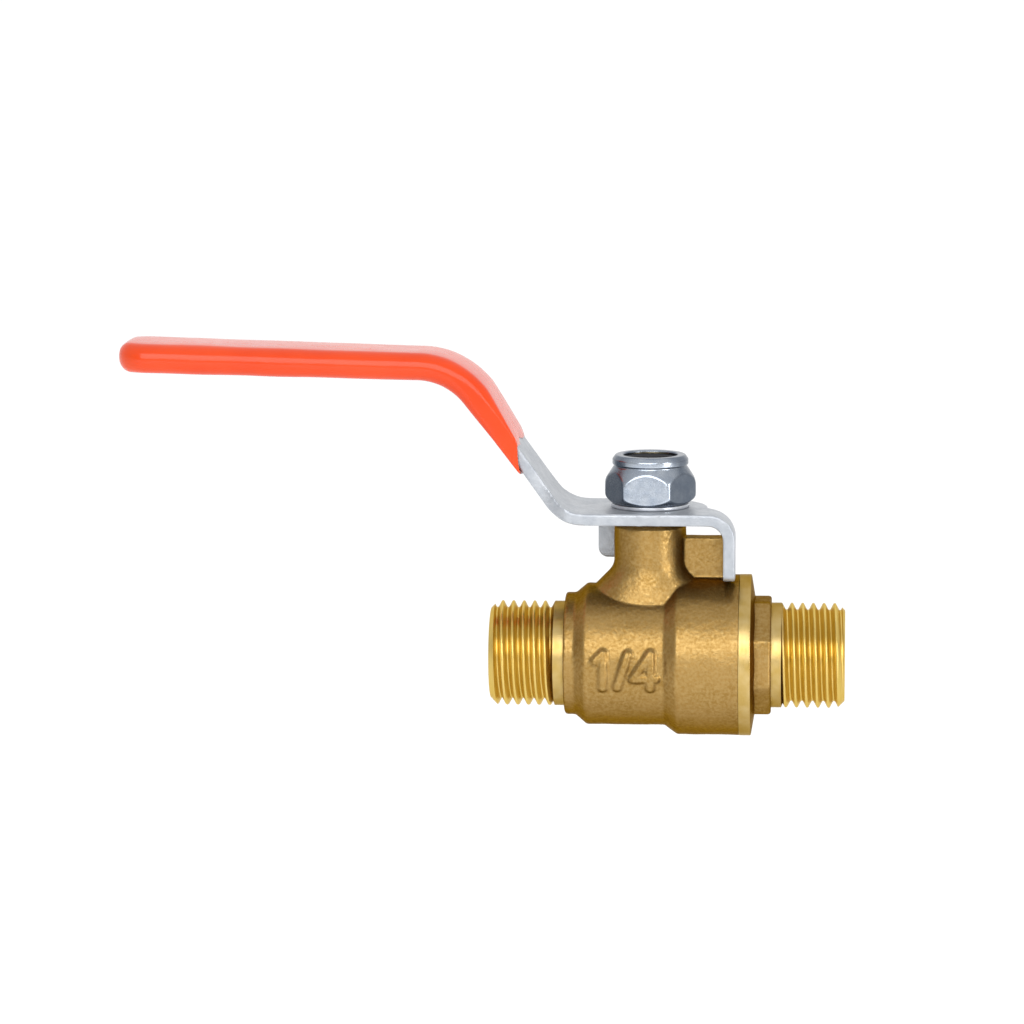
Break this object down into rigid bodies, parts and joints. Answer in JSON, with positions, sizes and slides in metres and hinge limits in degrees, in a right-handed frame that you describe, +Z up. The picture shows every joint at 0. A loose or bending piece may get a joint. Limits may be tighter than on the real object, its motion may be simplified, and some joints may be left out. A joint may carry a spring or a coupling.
{
  "type": "ball valve",
  "caption": "Small brass ball valve with male pipe threads at both ends, a stamped lever with a dipped grip, and a locking nut on the stem.",
  "frame": {"origin": "centre of the ball, where the pipe axis and the stem axis cross", "axes": "+X along the pipe axis towards the end connector, +Z up the stem towards the lock nut; the open lever points along -X"},
  "size_m": [0.0909, 0.0202, 0.0498],
  "materials": {
    "forged_brass": "satin, as forged, bright where machined",
    "turned_brass": "machined",
    "plated_ball": "polished plating on brass",
    "seat_polymer": "waxy white polymer",
    "o_ring_rubber": "matte",
    "zinc_sheet": "clear zinc plate on stamped steel",
    "orange_vinyl": "glossy dipped coat",
    "zinc_washer": "bright zinc plate",
    "zinc_nut": "bluish bright zinc plate",
    "insert_polymer": "dark polymer"
  },
  "bodies": {
    "valve_body": {"body": "forged_brass", "end_connector": "forged_brass", "seat_inlet": "seat_polymer", "seat_outlet": "seat_polymer", "thrust_washer": "seat_polymer"},
    "lever_assembly": {"stem": "turned_brass", "stem_o_ring_lower": "o_ring_rubber", "stem_o_ring_upper": "o_ring_rubber", "lever": "zinc_sheet", "grip_sleeve": "orange_vinyl", "lever_washer": "zinc_washer", "lock_nut": "zinc_nut", "lock_nut_insert": "insert_polymer"},
    "ball": {"ball": "plated_ball"}
  },
  "joints": [
    {"name": "lever_turn", "type": "hinge", "parent": "valve_body", "child": "lever_assembly", "pos_m": [0, 0, 0], "axis": [0, 0, 1], "range_deg": [-90, 0]},
    {"name": "ball_turn", "type": "hinge", "parent": "valve_body", "child": "ball", "pos_m": [0, 0, 0], "axis": [0, 0, 1], "range_deg": [-90, 0]}
  ],
  "couplings": [
    {"joint": "ball_turn", "follows": "lever_turn", "ratio": 1}
  ]
}
